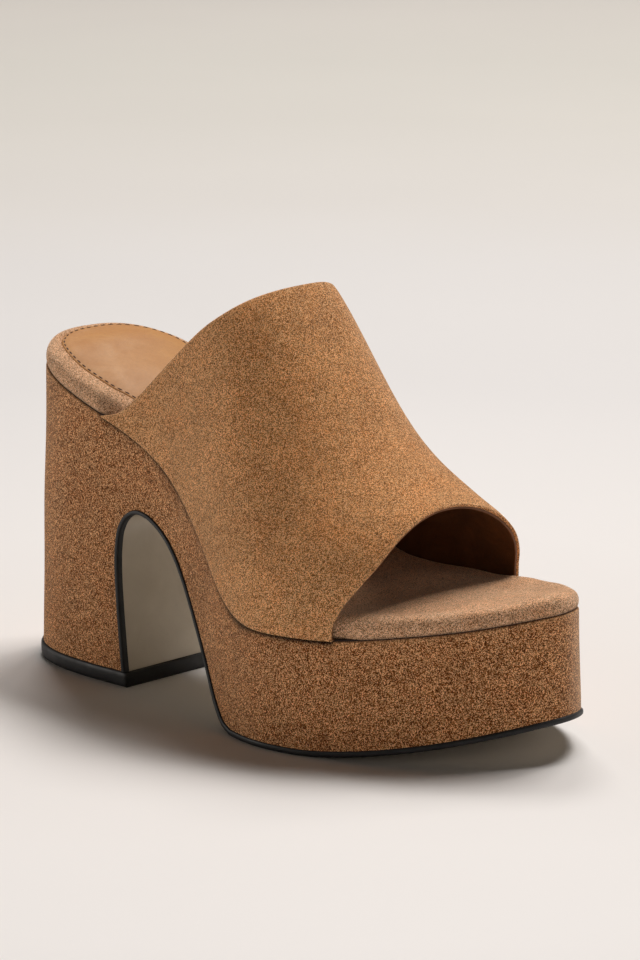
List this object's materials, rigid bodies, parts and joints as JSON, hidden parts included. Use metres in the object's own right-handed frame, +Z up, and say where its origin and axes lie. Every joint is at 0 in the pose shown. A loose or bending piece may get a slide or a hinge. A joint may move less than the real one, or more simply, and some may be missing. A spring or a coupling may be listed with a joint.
{
  "type": "platform sandal",
  "caption": "Open-toe, open-back platform mule with a wide one-piece suede vamp, a padded footbed, and a tall block heel wrapped in one piece with the platform. Right foot, empty and standing.",
  "frame": {"origin": "centre of the bounding box on the floor, under the arch between heel and platform", "axes": "+X towards the toe, +Y towards the wearer's left (the medial side of this right shoe), +Z up; the shoe stands on heel and forefoot at Z = 0"},
  "size_m": [0.2322, 0.0958, 0.1478],
  "materials": {
    "outsole_rubber": "black rubber sheet, smooth, low gloss",
    "heel_tip_rubber": "black rubber, smooth, low gloss",
    "suede_wrap": "brown suede wrapped over a moulded unit",
    "suede_footbed": "brown suede rim, tan smooth leather sock at the seat",
    "suede_upper": "brown suede outside, tan smooth leather lining"
  },
  "bodies": {
    "root": {"outsole": "outsole_rubber", "top_lift": "heel_tip_rubber", "platform_heel": "suede_wrap", "footbed": "suede_footbed", "upper": "suede_upper"}
  },
  "joints": []
}
